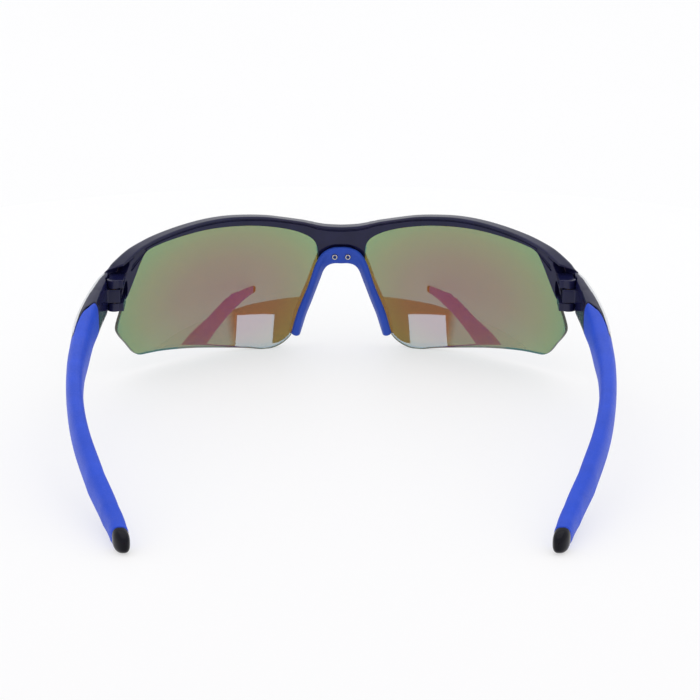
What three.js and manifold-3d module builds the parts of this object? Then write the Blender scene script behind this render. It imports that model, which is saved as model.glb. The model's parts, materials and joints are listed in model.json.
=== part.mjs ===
// Wraparound half-rim sport sunglasses, standing open on a table.
//
// Millimetres. +X is the wearer's right, +Y the way the wearer looks, +Z up.
// The origin is on the table, under the middle of the bounding box. The front bows around the Z
// axis, so its pieces are drawn flat, as (x, z) seen from the front, and wrapped onto that bow.
// Everything is drawn for the right side, and the left side is its mirror image.

import * as THREE from "three";
import { mergeVertices } from "three/addons/utils/BufferGeometryUtils.js";
import Module from "manifold-3d";

const wasm = await Module();
wasm.setup();

// ---- Driving dimensions ----

const WRAP_RADIUS = 76; // plan radius of the front's middle surface
const BOW_RADIUS = 90; // radius of its bow from top to bottom
const BOW_HEIGHT = 20; // height of the bow's foremost point
const BOW_AXIS_Y = -0.7; // the bow's axis, behind the origin
const LEAN = 0.03; // how far the front leans back, per mm of height

const GAP = 0.3; // left between two pieces that touch
const PLAY = 0.1; // left round a pin or a bush in its bore
const LENS_THICKNESS = 2;

const FRAME_END_Y = 45.8; // the plane where the front stops and the temple starts
const TEMPLE_FRONT_Y = 45.5;
const TEMPLE_REAR_Y = -78.2;

const HINGE = { x: 60.2, y: 41.9, radius: 1.8 }; // pivot axis, parallel to Z, and its barrels
const UPPER_LUG = { bottom: 26.9, top: 29.2 };
const LOWER_LUG = { bottom: 20.6, top: 22.9 };
const BARREL = { bottom: 23.1, top: 26.7 };
const SCREW_RADIUS = 0.7; // an M1.4 hinge screw
const SCREW_HEAD = { radius: 1.2, depth: 0.8 };
const HEAD_TOP = LOWER_LUG.bottom + SCREW_HEAD.depth; // the screw goes in from below
const BUSH_RADIUS = 1.15;

// The nose pad's screws: their axis, and the depths of the head's face and of the shank's end.
const NOSE_SCREW = {
  x: 1.8,
  z: 26.2,
  depth: -4.3,
  end: 0.9,
  radius: 0.5,
  headRadius: 0.75,
  headHeight: 0.5,
  socketRadius: 0.3,
};

// ---- Materials ----

const surface = (metalness) => (color, roughness) =>
  new THREE.MeshStandardMaterial({ color, roughness, metalness });
const plastic = surface(0);
const metal = surface(1);
const MATERIALS = {
  frame: plastic(0x14162e, 0.15),
  lens: plastic(0x7f7f5a, 0.05),
  rubber: plastic(0x2a46c8, 0.6),
  tip: plastic(0x08080f, 0.12),
  trim: metal(0xd8dadf, 0.2),
  steel: metal(0xb8b8b4, 0.3),
  brass: metal(0xb08d57, 0.35),
};

// ---- Solids ----

// The manifold-3d solid of a closed geometry.
function solid(geometry) {
  const bare = new THREE.BufferGeometry();
  bare.setAttribute("position", geometry.getAttribute("position"));
  bare.setIndex(geometry.getIndex());
  const merged = mergeVertices(bare, 1e-4);
  return new wasm.Manifold(
    new wasm.Mesh({
      numProp: 3,
      vertProperties: merged.attributes.position.array,
      triVerts: new Uint32Array(merged.index.array),
    }),
  );
}

function geometryOf(made) {
  const { vertProperties, triVerts } = made.getMesh();
  const geometry = new THREE.BufferGeometry();
  geometry.setAttribute("position", new THREE.BufferAttribute(new Float32Array(vertProperties), 3));
  geometry.setIndex(new THREE.BufferAttribute(new Uint32Array(triVerts), 1));
  geometry.computeVertexNormals();
  return geometry;
}

const union = (...solids) => solids.reduce((all, next) => all.add(next));

// A geometry from points and triangles, turned so that its faces point out.
function closedGeometry(points, triangles) {
  const volume = triangles.reduce((sum, [a, b, c]) => {
    const cross = new THREE.Vector3().crossVectors(points[b], points[c]);
    return sum + points[a].dot(cross);
  }, 0);
  const outward = volume > 0 ? triangles : triangles.map(([a, b, c]) => [a, c, b]);
  const geometry = new THREE.BufferGeometry().setFromPoints(points);
  geometry.setIndex(outward.flat());
  geometry.computeVertexNormals();
  return geometry;
}

// A skin over rings that all have the same number of points. Its ends are closed to their middles,
// or, where it is a loop, the last ring is joined to the first.
function loft(rings, { loop = false } = {}) {
  const around = rings[0].length;
  const points = rings.flat();
  const triangles = [];
  const joined = loop ? rings.length : rings.length - 1;
  for (let i = 0; i < joined; i++) {
    for (let j = 0; j < around; j++) {
      const k = (j + 1) % around;
      const here = i * around;
      const next = ((i + 1) % rings.length) * around;
      triangles.push([here + j, here + k, next + k], [here + j, next + k, next + j]);
    }
  }
  if (!loop) {
    for (const end of [0, rings.length - 1]) {
      const middle = new THREE.Vector3();
      rings[end].forEach((p) => middle.addScaledVector(p, 1 / around));
      points.push(middle);
      for (let j = 0; j < around; j++) {
        const edge = [end * around + j, end * around + ((j + 1) % around)];
        if (!end) edge.reverse();
        triangles.push([...edge, points.length - 1]);
      }
    }
  }
  return closedGeometry(points, triangles);
}

// A loft through the rings of the right half and their mirror images, from left tip to right tip.
function fromTipToTip(places, ringAt) {
  const half = places.map(ringAt);
  const mirrored = half.slice(1).map((ring) => ring.map((p) => new THREE.Vector3(-p.x, p.y, p.z)));
  return loft([...mirrored.reverse(), ...half]);
}

// ---- Smooth tables ----

// The value between b and c of a Catmull-Rom spline through a, b, c and d.
function smooth(a, b, c, d, t) {
  return b + 0.5 * t * (c - a + t * (2 * a - 5 * b + 4 * c - d + t * (3 * (b - c) + d - a)));
}

// The row at a place along a table, counted in rows, with every column interpolated.
function rowAt(table, place) {
  const last = table.length - 1;
  const i = Math.min(Math.max(Math.floor(place), 0), last - 1);
  const near = [i - 1, i, i + 1, i + 2].map((k) => table[Math.min(Math.max(k, 0), last)]);
  return table[i].map((_, column) => smooth(...near.map((row) => row[column]), place - i));
}

// The row at a value of the first column, which falls from row to row.
function rowWhere(table, value) {
  let i = table.findIndex((row) => row[0] < value) - 1;
  if (i < 0) i = value >= table[0][0] ? 0 : table.length - 2;
  return rowAt(table, i + (table[i][0] - value) / (table[i][0] - table[i + 1][0]));
}

// Evenly spaced values, both ends included.
function between(count, from, to) {
  return Array.from({ length: count }, (_, i) => from + ((to - from) * i) / (count - 1));
}

// ---- The front's bow ----

// A point drawn at (x, z) on the front's middle surface, moved out from it by depth.
function wrapped(x, z, depth) {
  const turn = Math.asin(x / WRAP_RADIUS);
  const bow = (BOW_HEIGHT ** 2 - (z - BOW_HEIGHT) ** 2) / (2 * BOW_RADIUS) - LEAN * z;
  const radius = WRAP_RADIUS + depth;
  return new THREE.Vector3(radius * Math.sin(turn), radius * Math.cos(turn) + bow + BOW_AXIS_Y, z);
}

// A curved plate of a flat outline, between two depths, in rings round a middle point.
function wrappedPlate(outline, middle, back, front, shares) {
  const rings = [];
  const ring = (share, depth) =>
    outline.map((p) => {
      const x = middle.x + (p.x - middle.x) * share;
      const z = middle.y + (p.y - middle.y) * share;
      return wrapped(x, z, depth);
    });
  for (const share of shares) rings.push(ring(share, back));
  for (const share of [...shares].reverse()) rings.push(ring(share, front));
  return loft(rings);
}

// An outline moved outwards, for the clearance round a piece.
function grown(outline, by) {
  return outline.map((p, i) => {
    const before = outline[(i + outline.length - 1) % outline.length];
    const after = outline[(i + 1) % outline.length];
    const along = new THREE.Vector2().subVectors(after, before).normalize();
    return new THREE.Vector2(p.x + along.y * by, p.y - along.x * by);
  });
}

// ---- Lens ----

// Anticlockwise from the lowest point; the top and both upper sides are inside the brow's groove.
const LENS_CURVE = [
  [20.9, -0.15], [26, 0.6], [34, 1.8], [42, 3.1], [50, 4.15], [53.2, 4.4], [55, 4.65], [56.2, 5.6],
  [58.2, 8.9], [59.7, 11.5], [60.35, 13.6], [59.2, 18.2], [57.9, 22.6], [56.6, 27], [55.2, 31.4],
  [52.6, 34.8], [48.6, 36.1], [43, 37], [37, 37.4], [31, 37.4], [25, 37], [18.6, 36], [12.6, 34.5],
  [8.2, 32.5], [5.9, 30], [5.6, 26.6], [6, 23.4], [7.1, 20], [8.6, 16], [10.1, 12], [11.7, 8],
  [13.1, 4.9], [14.8, 2.5], [17.4, 0.7],
].map(([x, z]) => new THREE.Vector2(x, z));
const LENS_MIDDLE = new THREE.Vector2(33, 18);

function closedCurve(points, count) {
  const flat = points.map((p) => new THREE.Vector3(p.x, p.y, 0));
  const curve = new THREE.CatmullRomCurve3(flat, true, "centripetal");
  return curve.getSpacedPoints(count).slice(0, count).map((p) => new THREE.Vector2(p.x, p.y));
}

const lensOutline = closedCurve(LENS_CURVE, 56);
const LENS_RINGS = [0.25, 0.5, 0.76, 1];

function makeLens() {
  const half = LENS_THICKNESS / 2;
  const plate = solid(wrappedPlate(lensOutline, LENS_MIDDLE, -half, half, LENS_RINGS));
  return geometryOf(plate.trimByPlane([0, 0, 1], 0));
}

function lensClearance() {
  const half = LENS_THICKNESS / 2 + GAP;
  return solid(wrappedPlate(grown(lensOutline, GAP), LENS_MIDDLE, -half, half, LENS_RINGS));
}

// ---- Brow frame ----

// Columns of the frame from the bridge outwards: the lower end (x, z), the upper end (x, z), and the
// depths of the back and front faces. The lower ends run under the bridge to its lowest corner, up
// its lens side, along the rim, and down the lip that hooks the lens's far edge.
const BROW_COLUMNS = [
  [0, 24.5, 0, 34.4, -2.1, 2.2],
  [2, 24.4, 2.2, 34.5, -2.1, 2.2],
  [3.9, 23.7, 4.4, 34.7, -2.1, 2.2],
  [5.4, 22.8, 6, 35, -2.1, 2.2],
  [6.3, 22.9, 6.9, 35.2, -2.1, 2.2],
  [6.55, 24.2, 7.3, 35.3, -2.1, 2.2],
  [6.55, 26.4, 7.9, 35.5, -2.1, 2.2],
  [6.9, 28.9, 8.8, 35.7, -2.1, 2.2],
  [8.1, 31, 10.2, 36.1, -2.1, 2.1],
  [11, 32.8, 12.6, 36.6, -2, 2.1],
  [15, 34.2, 16.4, 37.4, -2, 2.1],
  [19.6, 35.2, 20.4, 38.2, -1.9, 2.1],
  [25, 36, 25.4, 38.8, -1.9, 2.1],
  [31, 36.4, 31.2, 39.2, -1.9, 2.1],
  [37, 36.4, 37, 39, -1.9, 2.1],
  [43.2, 35.8, 43.2, 38.2, -1.9, 2.1],
  [49.4, 34.8, 49.4, 36.9, -1.9, 2.2],
  [53.2, 33.6, 53, 35.8, -2, 2.2],
  [55, 30.8, 55.4, 34.9, -2.1, 2.2],
  [56.3, 27.9, 57, 34, -2.2, 2.2],
  [57.5, 25, 58.4, 33, -2.2, 2.2],
  [58.9, 22, 59.8, 31.9, -2.2, 2.2],
  [60.6, 20.5, 61.2, 30.5, -2.2, 2.1],
  [64.4, 20.1, 64.4, 28.9, -2.2, 2],
];
const STATIONS_PER_COLUMN = 2;
const BROW_ROUND = 0.5; // radius of the section's corners

// The section's corners, as (at the top, at the front): two points of each are joined by an arc.
const SECTION_CORNERS = [[0, 0], [1, 0], [1, 1], [0, 1]];
const CORNER_STEPS = [0, 0.5, 1];

function browRing([xLow, zLow, xHigh, zHigh, back, front]) {
  const low = new THREE.Vector2(xLow, zLow);
  const up = new THREE.Vector2(xHigh - xLow, zHigh - zLow);
  const height = up.length();
  up.normalize();
  return SECTION_CORNERS.flatMap(([top, outer], corner) =>
    CORNER_STEPS.map((step) => {
      const angle = ((corner + step) * Math.PI) / 2;
      const along = (top ? height - BROW_ROUND : BROW_ROUND) - BROW_ROUND * Math.cos(angle);
      const depth = (outer ? front - BROW_ROUND : back + BROW_ROUND) - BROW_ROUND * Math.sin(angle);
      return wrapped(low.x + up.x * along, low.y + up.y * along, depth);
    }),
  );
}

function browBar() {
  const last = BROW_COLUMNS.length - 1;
  const places = between(last * STATIONS_PER_COLUMN + 1, 0, last);
  return solid(fromTipToTip(places, (place) => browRing(rowAt(BROW_COLUMNS, place))));
}

function box(low, high) {
  const size = low.map((v, i) => high[i] - v);
  const made = new THREE.BoxGeometry(...size);
  made.translate(...low.map((v, i) => v + size[i] / 2));
  return solid(made);
}

// A cylinder about the hinge's axis.
function hingePost(radius, bottom, top) {
  const made = new THREE.CylinderGeometry(radius, radius, top - bottom, 16);
  made.rotateX(Math.PI / 2);
  made.translate(HINGE.x, HINGE.y, (top + bottom) / 2);
  return solid(made);
}

const LUG_FRONT_Y = 48.3; // inside the endpiece
const LUG_INSET = 0.4; // how far the lug's web stays inside the barrel's width
const LUG_REACH = 2.6; // how far its square inner side reaches from the axis towards the lens
const LUG_BACK = 1.2; // how far that side reaches back from the axis
const LUG_CAP = 0.5; // left closed above the threaded insert

function lug({ bottom, top }) {
  const web = box(
    [HINGE.x, HINGE.y, bottom],
    [HINGE.x + HINGE.radius - LUG_INSET, LUG_FRONT_Y, top],
  );
  const side = box(
    [HINGE.x - LUG_REACH, HINGE.y - LUG_BACK, bottom],
    [HINGE.x + 0.01, LUG_FRONT_Y, top],
  );
  return union(web, side, hingePost(HINGE.radius, bottom, top));
}

// Flat outlines cut into the frame from behind, each down to a depth of its own: the hollow of the
// endpiece, the two slots that part the hook from the rest, and the seat of the nose pad.
const flat = (points) => points.map(([x, z]) => new THREE.Vector2(x, z));
const POCKET = {
  middle: [60.2, 27],
  floor: 1.2,
  curve: [[57.9, 32.2], [58.9, 29], [60.6, 23], [61.4, 21.6], [64, 21.6], [63, 28], [60.4, 30.9]],
};
const SLOT = {
  middle: [55.8, 32.2],
  floor: -1.1,
  curve: [[53.2, 34.2], [54.4, 32.7], [56, 31], [57.6, 29.3], [56.9, 31.7], [55.9, 34.1]],
};
const GUSSET = {
  middle: [59.5, 22.6],
  floor: -0.6,
  curve: [[58.9, 27.2], [58.7, 23.9], [59.5, 21.3], [60.5, 21.4], [60, 23.6]],
};
const NOSE_SEAT = {
  middle: [0, 25],
  floor: -1.5,
  curve: [[0, 29.2], [2.6, 29], [4.1, 27.9], [5.4, 25.6], [6.5, 22.9], [6.6, 21]],
};
const BEHIND = -6; // a depth behind everything on the front

function cutFromBehind({ curve, middle, floor }) {
  const outline = closedCurve(flat(curve), 14);
  return solid(wrappedPlate(outline, new THREE.Vector2(...middle), BEHIND, floor, [1]));
}

const mirror = (made) => made.mirror([1, 0, 0]);
const bothSides = (made) => union(made, mirror(made));

// Both halves of the nose pad's seat.
function noseSeat() {
  const { curve, middle, floor } = NOSE_SEAT;
  const whole = [...curve, ...curve.slice(1).reverse().map(([x, z]) => [-x, z])];
  return solid(wrappedPlate(flat(whole), new THREE.Vector2(...middle), BEHIND, floor, [1]));
}

function makeBrow() {
  const beyond = box([50, -90, -5], [90, FRAME_END_Y, 60]);
  const cuts = [
    lensClearance(),
    cutFromBehind(POCKET),
    cutFromBehind(SLOT),
    cutFromBehind(GUSSET),
    noseSeat(),
    beyond,
  ];
  const bores = [
    hingePost(SCREW_RADIUS + PLAY, LOWER_LUG.bottom - 1, UPPER_LUG.bottom),
    hingePost(SCREW_HEAD.radius + PLAY, LOWER_LUG.bottom - 1, HEAD_TOP + PLAY),
    hingePost(BUSH_RADIUS + PLAY, UPPER_LUG.bottom - 1, UPPER_LUG.top - LUG_CAP),
    noseScrewBore(),
  ];
  const lugs = union(lug(UPPER_LUG), lug(LOWER_LUG)).subtract(lensClearance());
  let made = browBar();
  for (const cut of cuts) made = made.subtract(bothSides(cut));
  made = made.add(bothSides(lugs));
  for (const bore of bores) made = made.subtract(bothSides(bore));
  return geometryOf(made);
}

// ---- Nose piece ----

// Stations from the middle of the saddle to the end of a wing: the front edge (x, z, depth) and the
// rear edge (x, z, depth) of the surface that touches the nose.
const PAD_STATIONS = [
  [0, 24, -4, 0, 28.7, -4],
  [2, 24, -3.9, 2.3, 28.5, -4],
  [3.7, 23.2, -3.4, 4.5, 27.4, -4.5],
  [4.8, 21.5, -2.6, 6, 24.9, -5.4],
  [5.5, 19.5, -2.1, 7.2, 21.8, -6.1],
  [6.8, 16.1, -1.8, 8.4, 18, -6.5],
  [8.1, 12.7, -1.7, 9.9, 14.2, -6.6],
  [9.6, 9.2, -1.7, 11.4, 10.3, -6.6],
  [10.7, 6.2, -2.1, 12.4, 7, -6.4],
  [11.7, 4.2, -3.2, 12.8, 4.9, -5.8],
];
const SADDLE_THICKNESS = 1.9;
const WING_THICKNESS = 2.3;
const WING = { start: 4, full: 7 }; // the stations between which the pad grows thicker
const PAD_AROUND = 12;
const PAD_SQUARENESS = 0.7; // exponent of the rounded section, 1 being an ellipse
const CORE_GAP = 0.15; // round the flat strip inside the pad
const NOSE_CORE = { halfWidth: 1.1, halfThickness: 0.2, share: 0.56, end: 7.6 };

function padThickness(place) {
  const share = THREE.MathUtils.smoothstep(place, WING.start, WING.full);
  return THREE.MathUtils.lerp(SADDLE_THICKNESS, WING_THICKNESS, share);
}

// The middle of the pad's nose surface at a place, its across vector and its normal into the pad.
function padFrame(place) {
  const middle = (t) => {
    const [x1, z1, d1, x2, z2, d2] = rowAt(PAD_STATIONS, t);
    return [wrapped(x1, z1, d1), wrapped(x2, z2, d2)];
  };
  const [inner, outer] = middle(place);
  const step = 0.05;
  const last = PAD_STATIONS.length - 1;
  const [a1, a2] = middle(Math.max(place - step, 0));
  const [b1, b2] = middle(Math.min(place + step, last));
  const along = b1.clone().add(b2).sub(a1).sub(a2);
  if (place === 0) along.set(1, 0, 0);
  const across = outer.clone().sub(inner);
  const normal = new THREE.Vector3().crossVectors(across, along).normalize();
  return { centre: inner.clone().add(outer).multiplyScalar(0.5), across, normal };
}

const rounded = (value, power) => Math.sign(value) * Math.abs(value) ** power;

function padRing(place) {
  const { centre, across, normal } = padFrame(place);
  const half = padThickness(place) / 2;
  return Array.from({ length: PAD_AROUND }, (_, i) => {
    const angle = (2 * Math.PI * i) / PAD_AROUND;
    return centre.clone()
      .addScaledVector(across, rounded(Math.cos(angle), PAD_SQUARENESS) / 2)
      .addScaledVector(normal, half * (1 + rounded(Math.sin(angle), PAD_SQUARENESS)));
  });
}

// The flat strip inside the pad, or its channel when it is grown.
function noseStrip(grow, end) {
  return fromTipToTip(between(13, 0, end), (place) => {
    const { centre, across, normal } = padFrame(place);
    const side = across.clone().normalize();
    const heart = centre.addScaledVector(normal, SADDLE_THICKNESS * NOSE_CORE.share);
    const wide = NOSE_CORE.halfWidth + grow;
    const thick = NOSE_CORE.halfThickness + grow;
    const corners = [[-wide, -thick], [wide, -thick], [wide, thick], [-wide, thick]];
    return corners.map(([w, t]) => heart.clone().addScaledVector(side, w).addScaledVector(normal, t));
  });
}

// A cylinder parallel to Y, from one depth behind the bridge to another.
function bridgePin(radius, from, to) {
  const start = wrapped(NOSE_SCREW.x, NOSE_SCREW.z, from).y;
  const length = to - from;
  const made = new THREE.CylinderGeometry(radius, radius, length, 16);
  made.translate(NOSE_SCREW.x, start + length / 2, NOSE_SCREW.z);
  return solid(made);
}

const noseScrewBore = () => bridgePin(NOSE_SCREW.radius + PLAY, BEHIND, NOSE_SCREW.end + GAP);

function makeNosePad() {
  const { depth, headRadius, headHeight } = NOSE_SCREW;
  const pad = solid(fromTipToTip(between(16, 0, PAD_STATIONS.length - 1), padRing));
  const channel = solid(noseStrip(CORE_GAP, NOSE_CORE.end + CORE_GAP));
  const seat = bridgePin(headRadius + PLAY, depth - 2, depth + headHeight + PLAY);
  return geometryOf(pad.subtract(channel).subtract(bothSides(union(noseScrewBore(), seat))));
}

function makeNoseCore() {
  const strip = solid(noseStrip(0, NOSE_CORE.end));
  return geometryOf(strip.subtract(bothSides(noseScrewBore())));
}

function makeNoseScrew() {
  const { depth, radius, headRadius, headHeight, socketRadius, end } = NOSE_SCREW;
  const head = bridgePin(headRadius, depth, depth + headHeight);
  const shank = bridgePin(radius, depth + headHeight / 2, end);
  const socket = bridgePin(socketRadius, depth - 1, depth + 0.3);
  return geometryOf(head.add(shank).subtract(socket));
}

// ---- Temple ----

// Sections of the whole temple, front to rear: y, outer face x, thickness, top z, bottom z, and the
// exponent of the rounded section, which is 1 for an ellipse and 0 for a box.
const TEMPLE = [
  [45.5, 63, 2.6, 30, 20.4, 0.42],
  [42, 64.3, 2.8, 29.5, 19.7, 0.42],
  [39, 65.2, 3.2, 29, 19, 0.44],
  [35, 66.3, 3.8, 28.3, 18.1, 0.5],
  [28, 67.8, 4.7, 27.2, 16.8, 0.62],
  [20, 68.8, 5.1, 26, 15.8, 0.7],
  [8, 69, 5, 24.1, 14.4, 0.74],
  [-5, 68.6, 4.5, 22.5, 13.4, 0.74],
  [-20, 67.2, 4.2, 20, 11.2, 0.74],
  [-36, 64.4, 4.3, 16.7, 8.1, 0.74],
  [-53, 59.7, 4.5, 12, 4, 0.74],
  [-65, 55.4, 4.4, 8.2, 1.2, 0.74],
  [-72, 53, 4.2, 6, 0.2, 0.74],
  [-75, 52, 3.9, 5.2, -0.1, 0.74],
  [-78.4, 51, 3.7, 4.6, -0.2, 0.74],
];
const TEMPLE_AROUND = 24;

// A point of the temple's skin: angle 0 faces out, a quarter turn up. It lies inset inside the skin.
function templePoint(y, angle, inset) {
  const [, outer, thickness, top, bottom, power] = rowWhere(TEMPLE, y);
  const wide = thickness / 2 - inset;
  const tall = (top - bottom) / 2 - inset;
  return new THREE.Vector3(
    outer - thickness / 2 + wide * rounded(Math.cos(angle), power),
    y,
    (top + bottom) / 2 + tall * rounded(Math.sin(angle), power),
  );
}

const angles = (count) => Array.from({ length: count }, (_, i) => (2 * Math.PI * (i + 0.5)) / count);
const skinRing = (yAt, inset) => angles(TEMPLE_AROUND).map((a) => templePoint(yAt(a), a, inset));

// A round ring about the temple's middle line.
function coreRing(y, radius, count = TEMPLE_AROUND) {
  const [, outer, thickness, top, bottom] = rowWhere(TEMPLE, y);
  const middle = new THREE.Vector3(outer - thickness / 2, y, (top + bottom) / 2);
  return angles(count).map((a) =>
    new THREE.Vector3(middle.x + radius * Math.cos(a), y, middle.z + radius * Math.sin(a)),
  );
}

// Where the rubber sleeve starts: at one y on the inner face, and further back on the outer face,
// where it leaves the arm's skin and the blade bare. Angles count from the middle of the bare part.
const SEAM = {
  inner: 28.2,
  outer: 10.5,
  middle: THREE.MathUtils.degToRad(15),
  bare: THREE.MathUtils.degToRad(45),
  slope: THREE.MathUtils.degToRad(60),
};

function seamY(angle) {
  const turn = 2 * Math.PI;
  const off = Math.abs(((angle - SEAM.middle + turn + Math.PI) % turn) - Math.PI);
  const share = THREE.MathUtils.clamp((SEAM.bare + SEAM.slope - off) / SEAM.slope, 0, 1);
  return SEAM.inner - (SEAM.inner - SEAM.outer) * share ** 2;
}

const SEAM_GAP = 0.35;
const SEAM_ARC = 4; // about how far the seam runs round the temple, in mm per radian

// Where the arm's skin ends, so that the gap is equally wide where the seam runs along the temple.
function shoulderY(angle) {
  const step = 0.05;
  const slope = (seamY(angle + step) - seamY(angle - step)) / (2 * step * SEAM_ARC);
  return seamY(angle) + SEAM_GAP * Math.hypot(1, slope);
}

const SLEEVE_WALL = 1;
const TANG_END_Y = -8; // the rigid arm's tang stops here, inside the sleeve
const SLEEVE_END_Y = -73.6;
const CORE_RADIUS = 0.7; // the wire that lets the ear part be bent
const CORE = { front: 3, rear: -75.6 };

function makeSleeve() {
  const along = (share) => (angle) => seamY(angle) + (SLEEVE_END_Y - seamY(angle)) * share;
  const outside = between(17, 0, 1).map((share) => skinRing(along(share), 0));
  const past = TANG_END_Y - GAP;
  const tangPart = (share) => (angle) => seamY(angle) + (past - seamY(angle)) * share;
  const overTang = between(6, 0, 1).map((share) => skinRing(tangPart(share), SLEEVE_WALL));
  const overCore = between(9, past, SLEEVE_END_Y).map((y) => coreRing(y, CORE_RADIUS + GAP));
  const sleeve = solid(loft([...outside, ...[...overTang, ...overCore].reverse()], { loop: true }));
  return geometryOf(sleeve.subtract(trimCut()));
}

function coreSolid(radius, front, rear) {
  return solid(loft(between(16, front, rear).map((y) => coreRing(y, radius, 8))));
}

const TIP_ROUND = { length: 3.2, inset: 2.1 }; // the rounding of the end cap's rear end

function makeTip() {
  const start = TEMPLE_REAR_Y + TIP_ROUND.length;
  const skirt = between(3, SLEEVE_END_Y - GAP, start).map((y) => skinRing(() => y, 0));
  const end = between(5, 0.25, 0.96).map((share) => {
    const turn = (share * Math.PI) / 2;
    return skinRing(() => start - TIP_ROUND.length * Math.sin(turn), TIP_ROUND.inset * (1 - Math.cos(turn)));
  });
  const made = solid(loft([...skirt, ...end]));
  const bore = coreSolid(CORE_RADIUS + GAP, SLEEVE_END_Y + 1, CORE.rear - GAP);
  return geometryOf(made.subtract(bore).trimByPlane([0, 0, 1], 0));
}

// The bright blade on the outside: its y, and the angles of its lower and upper edges.
const TRIM = [
  [44.6, 30, 76],
  [40, 4, 76],
  [34, -10, 73],
  [28, -6, 69],
  [22, 8, 66],
  [16, 28, 62],
  [12, 44, 58],
].map(([y, low, high]) => [y, THREE.MathUtils.degToRad(low), THREE.MathUtils.degToRad(high)]);

function trimBlade(proud, deep, margin) {
  const ends = [TRIM[0][0] + margin, TRIM.at(-1)[0] - margin];
  const widen = THREE.MathUtils.degToRad(9) * margin;
  const rings = between(12, ...ends).map((y) => {
    const [, low, high] = rowWhere(TRIM, y);
    const steps = between(5, low - widen, high + widen);
    return [
      ...steps.map((angle) => templePoint(y, angle, -proud)),
      ...steps.reverse().map((angle) => templePoint(y, angle, deep)),
    ];
  });
  return loft(rings);
}

const TRIM_PROUD = 0.3;
const TRIM_DEPTH = 0.5;
const trimCut = () => solid(trimBlade(TRIM_PROUD + 2, TRIM_DEPTH + GAP, GAP));

const NOTCH_CLEAR = 9; // carries the arm's notch past its skin, above and below the barrel

function makeArm() {
  const along = (share) => (angle) => TEMPLE_FRONT_Y + (shoulderY(angle) - TEMPLE_FRONT_Y) * share;
  const skin = between(9, 0, 1).map((share) => skinRing(along(share), 0));
  const tang = (share) => (angle) => shoulderY(angle) + (TANG_END_Y - shoulderY(angle)) * share;
  const inside = between(6, 0, 1).map((share) => skinRing(tang(share), SLEEVE_WALL + GAP));
  const web = box(
    [HINGE.x - HINGE.radius, HINGE.y - HINGE.radius, BARREL.bottom],
    [HINGE.x + 3, HINGE.y, BARREL.top],
  );
  const cheek = box([HINGE.x, HINGE.y - 1, BARREL.bottom], [HINGE.x + 3, HINGE.y + 1.7, BARREL.top]);
  const barrel = union(web, cheek, hingePost(HINGE.radius, BARREL.bottom, BARREL.top));
  const below = BARREL.bottom - NOTCH_CLEAR;
  const above = BARREL.top + NOTCH_CLEAR;
  const notch = union(
    hingePost(HINGE.radius + GAP, below, above),
    box([HINGE.x - 4, HINGE.y, below], [HINGE.x + HINGE.radius - LUG_INSET + GAP, 50, above]),
  );
  return geometryOf(
    solid(loft([...skin, ...inside]))
      .subtract(notch)
      .add(barrel)
      .subtract(hingePost(BUSH_RADIUS + PLAY, BARREL.bottom - 1, BARREL.top + 1))
      .subtract(coreSolid(CORE_RADIUS + GAP, CORE.front + GAP, TANG_END_Y - 1))
      .subtract(trimCut()),
  );
}

// ---- Hinge fittings ----

function tube({ bottom, top }) {
  const bore = hingePost(SCREW_RADIUS + PLAY, bottom - 1, top + 1);
  return geometryOf(hingePost(BUSH_RADIUS, bottom, top).subtract(bore));
}

const INSERT = { bottom: UPPER_LUG.bottom, top: UPPER_LUG.top - LUG_CAP - PLAY };
const DRIVER_SLOT = { width: 0.36, depth: 0.35 };

function makeHingeScrew() {
  const shank = hingePost(SCREW_RADIUS, HEAD_TOP - 0.1, UPPER_LUG.top - LUG_CAP - GAP);
  const head = hingePost(SCREW_HEAD.radius, LOWER_LUG.bottom, HEAD_TOP);
  const slot = box(
    [HINGE.x - 2, HINGE.y - DRIVER_SLOT.width / 2, LOWER_LUG.bottom - 1],
    [HINGE.x + 2, HINGE.y + DRIVER_SLOT.width / 2, LOWER_LUG.bottom + DRIVER_SLOT.depth],
  );
  return geometryOf(shank.add(head).subtract(slot));
}

// ---- Assembly ----

const model = new THREE.Group();
const right = new THREE.Group();
const left = new THREE.Group();
left.scale.x = -1;
model.add(right, left);

function add(group, name, geometry, material) {
  const piece = new THREE.Mesh(geometry, material);
  piece.name = name;
  group.add(piece);
}

add(model, "brow_frame", makeBrow(), MATERIALS.frame);
add(model, "nose_pad", makeNosePad(), MATERIALS.rubber);
add(model, "nose_core", makeNoseCore(), MATERIALS.steel);

const SIDE_PIECES = {
  lens: [makeLens(), MATERIALS.lens],
  nose_screw: [makeNoseScrew(), MATERIALS.steel],
  hinge_screw: [makeHingeScrew(), MATERIALS.steel],
  hinge_insert: [tube(INSERT), MATERIALS.brass],
  hinge_bush: [tube(BARREL), MATERIALS.brass],
  temple_arm: [makeArm(), MATERIALS.frame],
  temple_trim: [trimBlade(TRIM_PROUD, TRIM_DEPTH, 0), MATERIALS.trim],
  temple_sleeve: [makeSleeve(), MATERIALS.rubber],
  temple_core: [geometryOf(coreSolid(CORE_RADIUS, CORE.front, CORE.rear)), MATERIALS.steel],
  temple_tip: [makeTip(), MATERIALS.tip],
};
for (const [side, group] of [["left", left], ["right", right]]) {
  for (const [piece, [geometry, material]] of Object.entries(SIDE_PIECES)) {
    add(group, `${piece}_${side}`, geometry, material);
  }
}

export default model;
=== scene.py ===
import json
import math

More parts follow.
